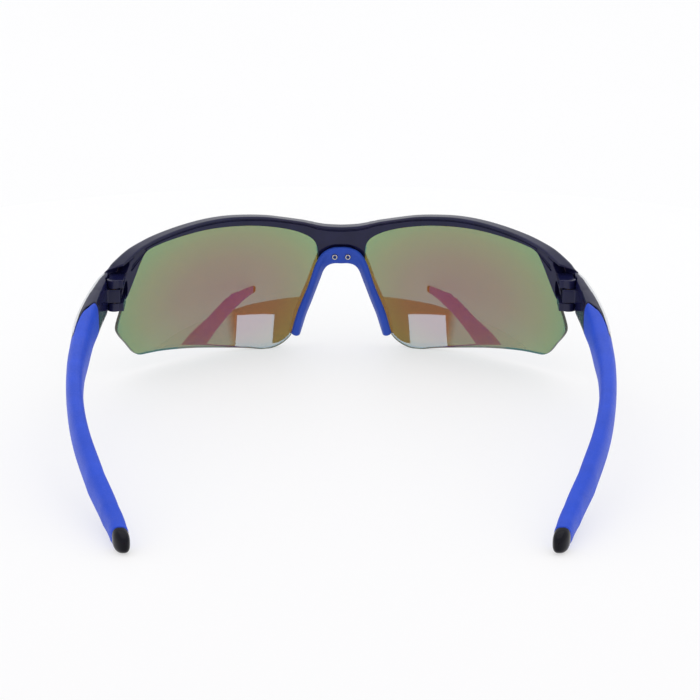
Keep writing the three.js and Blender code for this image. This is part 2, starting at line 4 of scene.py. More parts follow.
import bmesh
import bpy
import numpy as np
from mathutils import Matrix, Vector


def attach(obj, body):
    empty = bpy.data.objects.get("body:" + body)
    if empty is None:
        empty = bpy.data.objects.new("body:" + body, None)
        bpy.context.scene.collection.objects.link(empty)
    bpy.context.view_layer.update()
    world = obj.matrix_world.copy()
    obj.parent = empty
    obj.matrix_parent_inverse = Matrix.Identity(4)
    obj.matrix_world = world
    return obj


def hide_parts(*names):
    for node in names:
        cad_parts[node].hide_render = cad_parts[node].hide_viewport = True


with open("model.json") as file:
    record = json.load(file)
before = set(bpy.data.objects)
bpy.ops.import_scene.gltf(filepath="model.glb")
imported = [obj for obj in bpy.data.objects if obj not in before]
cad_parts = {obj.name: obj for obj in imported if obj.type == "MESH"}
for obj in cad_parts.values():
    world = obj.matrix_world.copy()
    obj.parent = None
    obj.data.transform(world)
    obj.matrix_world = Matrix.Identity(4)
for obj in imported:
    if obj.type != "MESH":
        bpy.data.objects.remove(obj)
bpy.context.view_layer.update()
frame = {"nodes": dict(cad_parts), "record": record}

MM = 0.001
SIDES = {"left": -1, "right": 1}

# ---- The camera ----

CAMERA_AT = (0, -0.663, 0.2435)  # metres
CAMERA_PITCH = math.radians(71.63)
CAMERA_SHIFT = 0.0124  # of the picture's width
SENSOR_WIDTH = 36
FOCAL_LENGTH = 143.35

camera = bpy.data.objects.new("camera", bpy.data.cameras.new("camera"))
bpy.context.scene.collection.objects.link(camera)
camera.location = CAMERA_AT
camera.rotation_euler = (CAMERA_PITCH, 0, 0)
camera.data.sensor_width = SENSOR_WIDTH
camera.data.lens = FOCAL_LENGTH
camera.data.shift_x = CAMERA_SHIFT
camera.data.clip_start = 0.01
camera.data.clip_end = 20
bpy.context.scene.camera = camera

# ---- Tables and curves, as in the CAD ----


def smooth(a, b, c, d, t):
    """The value between b and c of a Catmull-Rom spline through a, b, c and d."""
    return b + 0.5 * t * (c - a + t * (2 * a - 5 * b + 4 * c - d + t * (3 * (b - c) + d - a)))


def row_at(table, place):
    """The row at a place along a table, counted in rows, with every column interpolated."""
    last = len(table) - 1
    i = min(max(int(math.floor(place)), 0), last - 1)
    near = [table[min(max(k, 0), last)] for k in (i - 1, i, i + 1, i + 2)]
    return smooth(*near, place - i)


def row_where(table, value):
    """The row at a value of the first column, which falls from row to row."""
    falls = np.nonzero(table[:, 0] < value)[0]
    i = int(falls[0]) - 1 if len(falls) else len(table) - 2
    i = max(i, 0)
    return row_at(table, i + (table[i][0] - value) / (table[i][0] - table[i + 1][0]))


def closed_curve(points, count):
    """Evenly spaced points of the smooth closed curve through the given ones."""
    points = np.array(points, float)
    n = len(points)
    steps = 24  # from each given point to the next
    least = 1e-6  # so that two equal points never divide by zero
    fine = []
    for i in range(n):
        p = [points[(i + k) % n] for k in (-1, 0, 1, 2)]
        t = [0.0]
        for a, b in zip(p, p[1:]):
            t.append(t[-1] + max(np.linalg.norm(b - a), least) ** 0.5)
        for u in np.linspace(t[1], t[2], steps, endpoint=False):
            mix = lambda a, b, ta, tb: (a * (tb - u) + b * (u - ta)) / (tb - ta)
            a1, a2, a3 = (mix(p[k], p[k + 1], t[k], t[k + 1]) for k in range(3))
            b1, b2 = mix(a1, a2, t[0], t[2]), mix(a2, a3, t[1], t[3])
            fine.append(mix(b1, b2, t[1], t[2]))
    fine = np.array(fine + fine[:1])
    run = np.concatenate([[0], np.cumsum(np.linalg.norm(np.diff(fine, axis=0), axis=1))])
    at = np.linspace(0, run[-1], count, endpoint=False)
    return np.stack([np.interp(at, run, fine[:, k]) for k in (0, 1)], 1)


def grown(outline, by):
    """An anticlockwise outline moved outwards."""
    along = np.roll(outline, -1, 0) - np.roll(outline, 1, 0)
    along /= np.linalg.norm(along, axis=1)[:, None]
    return outline + by * np.stack([along[:, 1], -along[:, 0]], 1)


WRAP_RADIUS = 76  # plan radius of the front's middle surface
BOW_RADIUS = 90  # radius of its bow from top to bottom
BOW_HEIGHT = 20  # height of the bow's foremost point
BOW_AXIS_Y = -0.7
LEAN = 0.03  # how far the front leans back, per mm of height


def bow_at(z):
    """How far forward the bow and the lean carry the middle surface at a height."""
    return (BOW_HEIGHT**2 - (z - BOW_HEIGHT) ** 2) / (2 * BOW_RADIUS) - LEAN * z


def wrapped(x, z, depth):
    """A point drawn at (x, z) on the front's middle surface, moved out from it by depth."""
    turn = np.arcsin(np.asarray(x, float) / WRAP_RADIUS)
    radius = WRAP_RADIUS + depth
    y = radius * np.cos(turn) + bow_at(np.asarray(z, float)) + BOW_AXIS_Y
    return np.stack(np.broadcast_arrays(radius * np.sin(turn), y, z), -1)


def eased(share):
    """A share from 0 to 1 that starts and stops gently."""
    share = np.clip(share, 0, 1)
    return share * share * (3 - 2 * share)


# ---- Meshes ----

WELD = 1e-7  # metres: points closer than this become one


def loft(rings, loop=False):
    """Points and faces of a skin over rings of equally many points."""
    rings = np.array(rings, float)
    n, m, _ = rings.shape
    faces = []
    for i in range(n if loop else n - 1):
        a, b = i * m, ((i + 1) % n) * m
        faces += [(a + j, a + (j + 1) % m, b + (j + 1) % m, b + j) for j in range(m)]
    if not loop:
        faces.append(tuple(reversed(range(m))))
        faces.append(tuple((n - 1) * m + j for j in range(m)))
    return rings.reshape(-1, 3), faces


def new_piece(name, shape, side=1):
    """An object from points and faces in millimetres, mirrored for the left side."""
    points, faces = shape
    mesh = bpy.data.meshes.new(name)
    mesh.from_pydata([tuple(p) for p in points * np.array([side * MM, MM, MM])], [], faces)
    obj = bpy.data.objects.new(name, mesh)
    bpy.context.scene.collection.objects.link(obj)
    work = bmesh.new()
    work.from_mesh(mesh)
    bmesh.ops.remove_doubles(work, verts=work.verts, dist=WELD)
    bmesh.ops.recalc_face_normals(work, faces=work.faces)
    work.to_mesh(mesh)
    work.free()
    return obj


def settle(obj):
    """Applies the object's modifiers to its mesh."""
    depsgraph = bpy.context.evaluated_depsgraph_get()
    made = bpy.data.meshes.new_from_object(obj.evaluated_get(depsgraph))
    obj.modifiers.clear()
    old, obj.data = obj.data, made
    bpy.data.meshes.remove(old)
    made.name = obj.name


def combine(obj, cutters, operation="DIFFERENCE"):
    """Cuts the cutters out of an object, or joins them to it, and removes them."""
    for cutter in cutters:
        modifier = obj.modifiers.new("combine", "BOOLEAN")
        modifier.operation = operation
        modifier.solver = "EXACT"
        modifier.object = cutter
    settle(obj)
    for cutter in cutters:
        bpy.data.objects.remove(cutter)


def soften(obj, voxel, rounds):
    """Rounds every edge a little, as moulding and polishing do."""
    modifier = obj.modifiers.new("remesh", "REMESH")
    modifier.mode = "VOXEL"
    modifier.voxel_size = voxel * MM
    modifier.use_smooth_shade = True
    modifier = obj.modifiers.new("smooth", "SMOOTH")
    modifier.factor = 0.5
    modifier.iterations = rounds
    settle(obj)


def shade(obj, sharp=None):
    """Smooth shading, except over edges that turn by more than a given number of degrees."""
    obj.data.shade_smooth()
    if sharp:
        obj.data.set_sharp_from_angle(angle=math.radians(sharp))


def box(low, high):
    (x0, y0, z0), (x1, y1, z1) = low, high
    ring = lambda z: [(x0, y0, z), (x1, y0, z), (x1, y1, z), (x0, y1, z)]
    return loft([ring(z0), ring(z1)])


def lathe(profile, at, axis="z", sides=48):
    """A turned solid: its profile is (radius, place along the axis), from one end to the other."""
    rings = []
    for radius, along in profile:
        turn = np.arange(sides) * 2 * math.pi / sides
        u, v = radius * np.cos(turn), radius * np.sin(turn)
        if axis == "z":
            ring = np.stack([at[0] + u, at[1] + v, np.full(sides, float(along))], 1)
        else:
            ring = np.stack([at[0] + u, np.full(sides, float(along)), at[1] + v], 1)
        rings.append(ring)
    return loft(rings)


def tip_to_tip(half):
    """A skin through the rings of the right half and their mirror images, from tip to tip."""
    mirrored = [ring * np.array([-1, 1, 1]) for ring in half[1:]]
    return loft(mirrored[::-1] + half)


# ---- Materials ----


class Finish:
    """A Principled material and short ways to feed it from procedural textures."""

    def __init__(self, name, **values):
        self.material = bpy.data.materials.new(name)
        self.material.use_nodes = True
        self.tree = self.material.node_tree
        self.shader = next(n for n in self.tree.nodes if n.type == "BSDF_PRINCIPLED")
        for key, value in values.items():
            self.shader.inputs[key.replace("_", " ")].default_value = value
        self.place = self.node("ShaderNodeTexCoord").outputs["Object"]

    def node(self, kind, **inputs):
        made = self.tree.nodes.new(kind)
        for key, value in inputs.items():
            self.feed(made, key, value)
        return made

    def feed(self, node, key, value):
        socket = node.inputs[key.replace("_", " ")]
        if isinstance(value, bpy.types.NodeSocket):
            self.tree.links.new(value, socket)
        else:
            socket.default_value = value

    def noise(self, scale, detail=3.0, roughness=0.55, place=None):
        """Noise with about so many lumps to the metre."""
        made = self.node("ShaderNodeTexNoise", Scale=scale, Detail=detail, Roughness=roughness)
        self.tree.links.new(place or self.place, made.inputs["Vector"])
        return made.outputs["Fac"]

    def ramp(self, factor, *stops):
        made = self.node("ShaderNodeValToRGB")
        elements = made.color_ramp.elements
        while len(elements) < len(stops):
            elements.new(0.5)
        for element, (position, color) in zip(elements, stops):
            element.position = position
            element.color = (*color, 1) if len(color) == 3 else color
        self.tree.links.new(factor, made.inputs["Fac"])
        return made.outputs["Color"]

    def span(self, value, low, high, to_low=0.0, to_high=1.0):
        """A value taken from one range to another and held at its ends."""
        made = self.node("ShaderNodeMapRange")
        limits = {"From Min": low, "From Max": high, "To Min": to_low, "To Max": to_high}
        for key, number in limits.items():
            made.inputs[key].default_value = number
        self.tree.links.new(value, made.inputs["Value"])
        return made.outputs["Result"]

    def blend(self, factor, a, b):
        made = self.node("ShaderNodeMix")
        made.data_type = "RGBA"
        for index, value in ((0, factor), (6, a), (7, b)):
            if isinstance(value, bpy.types.NodeSocket):
                self.tree.links.new(value, made.inputs[index])
            else:
                made.inputs[index].default_value = (*value, 1) if index else value
        return made.outputs[2]

    def bump(self, height, strength, distance):
        made = self.node("ShaderNodeBump", Strength=strength, Distance=distance, Height=height)
        self.feed(self.shader, "Normal", made.outputs["Normal"])

    def set(self, key, value):
        self.feed(self.shader, key, value)


def gloss_plastic(name, color, paler, roughness, gloss):
    """Moulded plastic with a faint cloud in its colour and a faint unevenness in its polish."""
    made = Finish(name, Specular_IOR_Level=gloss)
    cloud = made.noise(180)
    made.set("Base Color", made.ramp(cloud, (0.35, color), (0.75, paler)))
    fine = made.noise(2600, detail=2)
    made.set("Roughness", made.span(fine, 0.3, 0.7, roughness * 0.8, roughness * 1.3))
    made.bump(made.noise(900, detail=1), 0.05, 0.00005)
    return made.material


def soft_rubber(name, color):
    """Matt soft-touch rubber, with a faint cloud and fine paler specks."""
    made = Finish(name, Specular_IOR_Level=0.26)
    cloud = made.noise(140, detail=4)
    darker, paler = (tuple(c * k for c in color) for k in (0.9, 1.07))
    base = made.ramp(cloud, (0.3, darker), (0.72, paler))
    specks = made.noise(4200, detail=1)
    lit = tuple(0.03 + c * 1.1 for c in color)
    made.set("Base Color", made.blend(made.span(specks, 0.58, 0.76, 0, 0.5), base, lit))
    made.set("Roughness", made.span(made.noise(2400), 0.3, 0.7, 0.42, 0.58))
    made.bump(made.noise(5200, detail=2), 0.2, 0.00005)
    return made.material


def bare_metal(name, color, roughness, along):
    """Turned or polished metal: fine lines along one axis, in brightness and in roughness."""
    made = Finish(name, Metallic=1.0)
    squeeze = tuple(1.0 if i == along else 12.0 for i in range(3))
    stretch = made.node("ShaderNodeMapping", Vector=made.place, Scale=squeeze)
    lines = made.noise(700, detail=5, roughness=0.7, place=stretch.outputs["Vector"])
    darker = tuple(0.78 * c for c in color)
    made.set("Base Color", made.ramp(lines, (0.3, darker), (0.62, color)))
    made.set("Roughness", made.span(lines, 0.3, 0.7, roughness * 0.7, roughness * 1.4))
    made.bump(lines, 0.06, 0.00002)
    return made.material


NAVY = (0.0065, 0.0075, 0.036), (0.010, 0.011, 0.050)
BLACK = (0.0015, 0.0015, 0.005), (0.003, 0.003, 0.009)
navy = gloss_plastic("frame_navy", *NAVY, roughness=0.14, gloss=0.32)
black = gloss_plastic("tip_black", *BLACK, roughness=0.05, gloss=0.16)
rubber = soft_rubber("sleeve_rubber", (0.016, 0.072, 0.60))
pad_rubber = soft_rubber("pad_rubber", (0.017, 0.066, 0.42))
chrome = bare_metal("bright_trim", (0.80, 0.81, 0.83), roughness=0.16, along=1)
steel = bare_metal("bare_steel", (0.56, 0.55, 0.53), roughness=0.22, along=2)
brass = bare_metal("brass", (0.62, 0.44, 0.2), roughness=0.3, along=2)

# The lens material's colours run from the lens's middle outwards, over this field in metres. This is
# a painted colour shift, standing in for the change that the real lens shows with the angle it is
# seen at.
FIELD_X = (0.001, 0.061)
FIELD_Z = (-0.008, 0.040)
FIELD_CORNER = 1.25  # where they end, as a share of the field's half width
# The real lens leans further forward and wraps less than the sheet that carries the coat. Only the
# shading follows it.
COAT_LEAN = math.radians(-6.5)
COAT_UNWRAP = math.radians(4.5)


def painted_shift_share(made, axes):
    """0 at the lens's middle, growing to 1 at its far corners: the mask of the painted colour shift.
    """
    side = made.node("ShaderNodeMath")
    side.operation = "ABSOLUTE"
    made.tree.links.new(axes["X"], side.inputs[0])
    x = made.span(side.outputs[0], *FIELD_X, -1, 1)
    z = made.span(axes["Z"], *FIELD_Z, -1, 1)
    joined = made.node("ShaderNodeCombineXYZ", X=x, Z=z)
    away = made.node("ShaderNodeVectorMath")
    away.operation = "LENGTH"
    made.tree.links.new(joined.outputs[0], away.inputs[0])
    return made.span(away.outputs["Value"], 0.0, FIELD_CORNER)


def coat_normal(made, axes):
    """The surface's normal, turned the way the real lens faces. The turn about Z changes its sign
    within a millimetre of the middle."""
    unwrap = made.span(axes["X"], -0.001, 0.001, -COAT_UNWRAP, COAT_UNWRAP)
    aim = made.node("ShaderNodeCombineXYZ", X=COAT_LEAN, Z=unwrap)
    normal = made.node("ShaderNodeNewGeometry").outputs["Normal"]
    turned = made.node("ShaderNodeVectorRotate")
    turned.rotation_type = "EULER_XYZ"
    made.feed(turned, "Vector", normal)
    made.feed(turned, "Rotation", aim.outputs[0])
    return turned.outputs["Vector"]


def lens_face(name, through, mirror, share, grazing):
    """One face of a mirrored lens: a polished coat that mirrors a share of the light, more of it at
    a grazing angle, and lets the rest through tinted."""
    made = Finish(name, Metallic=1.0, Roughness=0.015)
    link = made.tree.links.new
    axes = made.node("ShaderNodeSeparateXYZ", Vector=made.place).outputs
    off = painted_shift_share(made, axes)
    normal = coat_normal(made, axes)
    # Painted colour shift: the coat's and the tint's colours follow the place on the lens, standing
    # in for their change with the viewing angle.
    made.set("Base Color", made.ramp(off, *mirror))
    made.set("Normal", normal)
    clear = made.node("ShaderNodeBsdfTransparent", Color=made.ramp(off, *through))
    rim = made.node("ShaderNodeLayerWeight", Blend=0.3, Normal=normal)
    mix = made.node("ShaderNodeMixShader")
    link(made.span(rim.outputs["Fresnel"], 0.0, 1.0, share, grazing), mix.inputs[0])
    link(clear.outputs[0], mix.inputs[1])
    link(made.shader.outputs[0], mix.inputs[2])
    output = next(n for n in made.tree.nodes if n.type == "OUTPUT_MATERIAL")
    link(mix.outputs[0], output.inputs["Surface"])
    return made.material


def lens_edge_painted_shade():
    """The far edge of a lens, clear-coated and painted dark: painted shade, for the darkness that
    light reflected inside the real lens gives its edge.
    """
    made = Finish("lens_edge_painted_shade", Roughness=0.2, Coat_Weight=0.4)
    shades = (0.3, (0.012, 0.020, 0.010)), (0.7, (0.03, 0.04, 0.018))
    made.set("Base Color", made.ramp(made.noise(500), *shades))
    made.bump(made.noise(3000), 0.06, 0.00003)
    return made.material


# Colours as (share of the way to the corner, colour): a rosy middle and olive edges, then the coat
# from behind and from the front. The change from middle to edges is painted: the real lens shifts
# colour with the angle it is seen at and with what it mirrors.
TINT_WITH_PAINTED_SHIFT = [
    (0.0, (0.57, 0.145, 0.025)),
    (0.36, (0.57, 0.20, 0.03)),
    (0.6, (0.55, 0.31, 0.035)),
    (0.8, (0.46, 0.43, 0.055)),
    (0.96, (0.30, 0.42, 0.09)),
]
INNER_MIRROR = [(0.0, (0.22, 0.62, 0.68)), (0.7, (0.22, 0.62, 0.66)), (1.0, (0.24, 0.66, 0.72))]
OUTER_MIRROR = [(0.0, (0.10, 0.30, 0.80)), (0.6, (0.13, 0.46, 0.70)), (1.0, (0.16, 0.60, 0.60))]
CLEAR = [(0.0, (0.98, 0.98, 0.98)), (1.0, (1.0, 1.0, 1.0))]
inner_face = lens_face("lens_inner", TINT_WITH_PAINTED_SHIFT, INNER_MIRROR, share=0.25, grazing=0.6)
outer_face = lens_face("lens_outer", CLEAR, OUTER_MIRROR, share=0.45, grazing=0.9)
dark_edge = lens_edge_painted_shade()

CAD_FINISHES = {"frame_plastic": navy, "soft_rubber": rubber, "tip_plastic": black}
CAD_FINISHES |= {"bright_trim": chrome, "steel": steel, "brass": brass, "lens": outer_face}
for part in frame["record"]["subparts"]:
    data = frame["nodes"][part["node"]].data
    data.materials.clear()
    data.materials.append(CAD_FINISHES[part["material_slot"]])


def finished(obj, body, materials, node):
    """Gives a piece its materials and its place in the frame, where it stands for a CAD node."""
    obj.data.materials.clear()
    for material in materials:
        obj.data.materials.append(material)
    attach(obj, body)
    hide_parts(node)


# ---- Lenses ----

LENS_CURVE = [
    (20.9, -0.15), (26, 0.6), (34, 1.8), (42, 3.1), (50, 4.15), (53.2, 4.4), (55, 4.65), (56.2, 5.6),
    (58.2, 8.9), (59.7, 11.5), (60.35, 13.6), (59.2, 18.2), (57.9, 22.6), (56.6, 27), (55.2, 31.4),
    (52.6, 34.8), (48.6, 36.1), (43, 37), (37, 37.4), (31, 37.4), (25, 37), (18.6, 36), (12.6, 34.5),
    (8.2, 32.5), (5.9, 30), (5.6, 26.6), (6, 23.4), (7.1, 20), (8.6, 16), (10.1, 12), (11.7, 8),
    (13.1, 4.9), (14.8, 2.5), (17.4, 0.7),
]
LENS_MIDDLE = np.array([33.0, 18.0])
LENS_HALF = 1.0  # of its thickness
LENS_RIM = 0.28  # radius of its edges
LENS_SHARES = (0.04, 0.2, 0.36, 0.52, 0.66, 0.78, 0.88, 0.95, 1.0)
# Towards its far edge the lens grows thinner, over a stretch of x and by a share.
TAPER_START = 38
TAPER_RUN = 20
TAPER = 0.45


def lens_shape():
    outline = closed_curve(LENS_CURVE, 220)
    steps = [(share, LENS_HALF, -LENS_RIM) for share in LENS_SHARES]
    for turn in np.linspace(0, math.pi / 2, 5)[1:]:
        depth = LENS_HALF - LENS_RIM + LENS_RIM * math.cos(turn)
        steps.append((1.0, depth, -LENS_RIM + LENS_RIM * math.sin(turn)))
    steps = [(s, -d, g) for s, d, g in steps] + [(s, d, g) for s, d, g in reversed(steps)]
    rings = []
    for share, depth, growth in steps:
        flat = LENS_MIDDLE + (grown(outline, growth) - LENS_MIDDLE) * share
        taper = TAPER * eased((flat[:, 0] - TAPER_START) / TAPER_RUN)
        ring = wrapped(flat[:, 0], flat[:, 1], depth * (1 - taper))
        ring[:, 2] = np.maximum(ring[:, 2], 0)
        rings.append(ring)
    return loft(rings)


LENS_SKINS = [inner_face, outer_face, dark_edge]
FACING = 0.75  # a face of the sheet, not its edge, looks at least this straight along the radius
DARK_EDGE_X = 45  # nearer to the nose the edge looks as the inner face does


def lens_skin(face):
    """Which of the lens's materials one of its polygons has."""
    x, y, z = face.center / MM
    out = Vector((x, y - BOW_AXIS_Y - bow_at(z), 0))
    facing = face.normal.dot(out.normalized())
    if facing > FACING:
        return LENS_SKINS.index(outer_face)
    # The far edge, away from the nose, gets the painted dark shade.
    if facing > -FACING and abs(x) > DARK_EDGE_X:
        return LENS_SKINS.index(dark_edge)
    return LENS_SKINS.index(inner_face)


for side, sign in SIDES.items():
    lens = new_piece("lens_sheet_" + side, lens_shape(), sign)
    shade(lens)
    finished(lens, "front", LENS_SKINS, "lens_" + side)
    for face in lens.data.polygons:
        face.material_index = lens_skin(face)

# ---- Brow frame ----

# Columns of the frame from the bridge outwards: the lower end (x, z), the upper end (x, z), and the
# depths of the back and front faces.
BROW_COLUMNS = np.array([
    [0, 24.5, 0, 34.4, -2.1, 2.2],
    [2, 24.4, 2.2, 34.5, -2.1, 2.2],
    [3.9, 23.7, 4.4, 34.7, -2.1, 2.2],
    [5.4, 22.8, 6, 35, -2.1, 2.2],
    [6.3, 22.9, 6.9, 35.2, -2.1, 2.2],
    [6.55, 24.2, 7.3, 35.3, -2.1, 2.2],
    [6.55, 26.4, 7.9, 35.5, -2.1, 2.2],
    [6.9, 28.9, 8.8, 35.7, -2.1, 2.2],
    [8.1, 31, 10.2, 36.1, -2.1, 2.1],
    [11, 32.8, 12.6, 36.6, -2, 2.1],
    [15, 34.2, 16.4, 37.4, -2, 2.1],
    [19.6, 35.2, 20.4, 38.2, -1.9, 2.1],
    [25, 36, 25.4, 38.8, -1.9, 2.1],
    [31, 36.4, 31.2, 39.2, -1.9, 2.1],
    [37, 36.4, 37, 39, -1.9, 2.1],
    [43.2, 35.8, 43.2, 38.2, -1.9, 2.1],
    [49.4, 34.8, 49.4, 36.9, -1.9, 2.2],
    [53.2, 33.6, 53, 35.8, -2, 2.2],
    [55, 30.8, 55.4, 34.9, -2.1, 2.2],
    [56.3, 27.9, 57, 34, -2.2, 2.2],
    [57.5, 25, 58.4, 33, -2.2, 2.2],
    [58.9, 22, 59.8, 31.9, -2.2, 2.2],
    [60.6, 20.5, 61.2, 30.5, -2.2, 2.1],
    [64.4, 20.1, 64.4, 28.9, -2.2, 2],
])
BROW_ROUND = 0.45
CROWN_ROUND = 1.3  # along the top of the front face
CROWN_BULGE = 0.25  # of the front face
BEAD = 0.75  # height of the rounded bead along the top of the back face
GROOVE_WIDTH = 0.6
# The groove under the bead: height above the bead's foot, and depth below the back face.
GROOVE = [(-0.56, 0), (-0.48, 0.05), (-0.42, 0.42), (-0.08, 0.42), (0, 0.06), (0.06, 0)]


def brow_ring(row):
    """The frame's section at a column, with rounded corners, the groove and the bulge."""
    low, high, (back, front) = row[0:2], row[2:4], row[4:6]
    height = np.linalg.norm(high - low)
    up = (high - low) / height
    points = []
    for corner, (top, outer) in enumerate(((0, 0), (1, 0), (1, 1), (0, 1))):
        r = CROWN_ROUND if top and outer else BROW_ROUND
        for step in np.linspace(0, 1, 5):
            angle = (corner + step) * math.pi / 2
            along = (height - r if top else r) - r * math.cos(angle)
            depth = (front - r if outer else back + r) - r * math.sin(angle)
            points.append((along, depth))
        if corner == 0:
            foot = height - BEAD
            flat = foot - GROOVE_WIDTH - r
            points += [(r + flat * s, back) for s in (0.25, 0.5, 0.75)]
            points += [(foot + rise, back + deep) for rise, deep in GROOVE]
        if corner == 2:
            crown = [(height - r) - (height - r - BROW_ROUND) * s for s in (0.2, 0.4, 0.6, 0.8)]
            points += [(a, front + CROWN_BULGE * math.sin(math.pi * a / height)) for a in crown]
    along, depth = np.array(points).T
    flat = low[None] + along[:, None] * up[None]
    return wrapped(flat[:, 0], flat[:, 1], depth)


def wrapped_plate(outline, middle, back, front, shares=(1.0,)):
    """A curved plate of a flat outline, between two depths, in rings round a middle point."""
    middle = np.array(middle)
    ring = lambda share, depth: wrapped(*(middle + (outline - middle) * share).T, depth)
    rings = [ring(s, back) for s in shares] + [ring(s, front) for s in reversed(shares)]
    return loft(rings)


GAP = 0.3  # left between two pieces that touch
PAST = 1  # how far a bore's cutter starts outside the piece
FRAME_END_Y = 45.8  # the plane where the front stops and the temple starts
HINGE_X, HINGE_Y, HINGE_RADIUS = 60.2, 41.9, 1.8
UPPER_LUG, LOWER_LUG, BARREL = (26.9, 29.2), (20.6, 22.9), (23.1, 26.7)  # bottoms and tops
# How far a lug reaches from the axis outwards, inwards, back and forward.
LUG_SIDE, LUG_REACH, LUG_BACK, LUG_FRONT = 1.4, 2.6, 1.2, 6.4
LUG_CAP = 0.5  # left closed above the threaded insert
BARREL_REACH, BARREL_FRONT = 3, 1.7  # the same for the barrel, outwards and forward
# Where the flat sides leave the round part, in degrees about the axis.
LUG_ARC, BARREL_ARC = (221.8, 398.9), (70.8, 180)
SCREW_HOLE, HEAD_HOLE, BUSH_HOLE = 0.8, 1.3, 1.25  # radii
HEAD_HOLE_DEPTH = 0.9
BORES = [
    (SCREW_HOLE, LOWER_LUG[0] - PAST, UPPER_LUG[0]),
    (HEAD_HOLE, LOWER_LUG[0] - PAST, LOWER_LUG[0] + HEAD_HOLE_DEPTH),
    (BUSH_HOLE, UPPER_LUG[0] - PAST, UPPER_LUG[1] - LUG_CAP),
]

# Cut into the frame from behind: the hollow of the endpiece and the two slots that part the hook
# from the rest, each as its middle, the depth of its floor and its outline.
BEHIND = -6  # the depth that the cutters start from
CUTS = [
    ([60.2, 27], 1.2, [
        (57.9, 32.2), (58.9, 29), (60.6, 23), (61.4, 21.6), (64, 21.6), (63, 28), (60.4, 30.9),
    ]),
    ([55.8, 32.2], -1.6, [
        (53.2, 34.2), (54.4, 32.7), (56, 31), (57.6, 29.3), (56.9, 31.7), (55.9, 34.1),
    ]),
    ([59.5, 22.6], -0.6, [(58.9, 27.2), (58.7, 23.9), (59.5, 21.3), (60.5, 21.4), (60, 23.6)]),
]
# The seat of the nose piece, from the top of its arch down one side.
NOSE_SEAT = [(0, 29.2), (2.6, 29), (4.1, 27.9), (5.4, 25.6), (6.5, 22.9), (6.6, 21)]
NOSE_SEAT_MIDDLE = [0, 25]
NOSE_SEAT_FLOOR = -1.5
BEHIND_THE_END = (50, -90, -5), (90, FRAME_END_Y, 60)  # corners of the room of the right temple


def turned(radius, bottom, top):
    """A cylinder about the right hinge's axis."""
    return lathe([(radius, bottom), (radius, top)], (HINGE_X, HINGE_Y))


def hinge_prism(corners, arc, heights):
    """A prism round the hinge's barrel: its plan runs along the barrel between two angles, in
    degrees, and on through corners given from the axis."""
    turn = np.radians(np.linspace(*arc, 40))
    plan = [(HINGE_RADIUS * math.cos(t), HINGE_RADIUS * math.sin(t)) for t in turn] + corners
    return loft([[(HINGE_X + x, HINGE_Y + y, z) for x, y in plan] for z in heights])


def lug(heights):
    corners = [(LUG_SIDE, LUG_FRONT), (-LUG_REACH, LUG_FRONT), (-LUG_REACH, -LUG_BACK)]
    return hinge_prism(corners, LUG_ARC, heights)


def nose_seat():
    outline = closed_curve(NOSE_SEAT + [(-x, z) for x, z in NOSE_SEAT[:0:-1]], 90)
    return wrapped_plate(outline, NOSE_SEAT_MIDDLE, BEHIND, NOSE_SEAT_FLOOR)


def lens_room():
    """What the lens needs, with a gap all round it."""
    outline = grown(closed_curve(LENS_CURVE, 120), GAP)
    half = LENS_HALF + GAP
    return wrapped_plate(outline, LENS_MIDDLE, -half, half, (0.3, 0.6, 0.85, 1.0))


def make_brow():
    last = len(BROW_COLUMNS) - 1
    places = np.linspace(0, last, last * 6 + 1)
    rings = [brow_ring(row_at(BROW_COLUMNS, place)) for place in places]
    brow = new_piece("brow_moulding", tip_to_tip(rings))
    cuts, lugs, bores = [], [], []
    for sign in (1, -1):
        cuts.append(new_piece("cut", lens_room(), sign))
        for middle, floor, curve in CUTS:
            hollow = wrapped_plate(closed_curve(curve, 40), middle, BEHIND, floor)
            cuts.append(new_piece("cut", hollow, sign))
        cuts.append(new_piece("cut", box(*BEHIND_THE_END), sign))
        lugs += [new_piece("lug", lug(heights), sign) for heights in (UPPER_LUG, LOWER_LUG)]
        bores += [new_piece("bore", turned(*bore), sign) for bore in BORES]
    cuts.append(new_piece("cut", nose_seat()))
    combine(brow, cuts)
    combine(brow, lugs, "UNION")
    combine(brow, bores)
    soften(brow, voxel=0.12, rounds=3)
    shade(brow)
    return brow


finished(make_brow(), "front", [navy], "brow_frame")

# ---- Nose piece ----

# Stations from the middle of the saddle to the end of a wing: the front edge (x, z, depth) and the
# rear edge (x, z, depth) of the surface that touches the nose.
PAD_STATIONS = np.array([
    [0, 24, -4, 0, 28.7, -4],
    [2, 24, -3.9, 2.3, 28.5, -4],
    [3.7, 23.2, -3.4, 4.5, 27.4, -4.5],
    [4.8, 21.5, -2.6, 6, 24.9, -5.4],
    [5.5, 19.5, -2.1, 7.2, 21.8, -6.1],
    [6.8, 16.1, -1.8, 8.4, 18, -6.5],
    [8.1, 12.7, -1.7, 9.9, 14.2, -6.6],
    [9.6, 9.2, -1.7, 11.4, 10.3, -6.6],
    [10.7, 6.2, -2.1, 12.4, 7, -6.4],
    [11.7, 4.2, -3.2, 12.8, 4.9, -5.8],
])
SADDLE_THICKNESS = 1.9
WING_EXTRA = 0.4  # how much thicker the wings are
WING_START, WING_FULL = 4, 7  # the stations between which the pad grows thicker
PAD_AROUND = 48
PAD_SQUARENESS = 0.7  # exponent of the rounded section, 1 being an ellipse
PAD_END = 0.8  # length of the wing's rounded end


def rounded(value, power):
    """A cosine or sine raised to a power with its sign kept, which squares a round section."""
    return np.sign(value) * np.abs(value) ** power


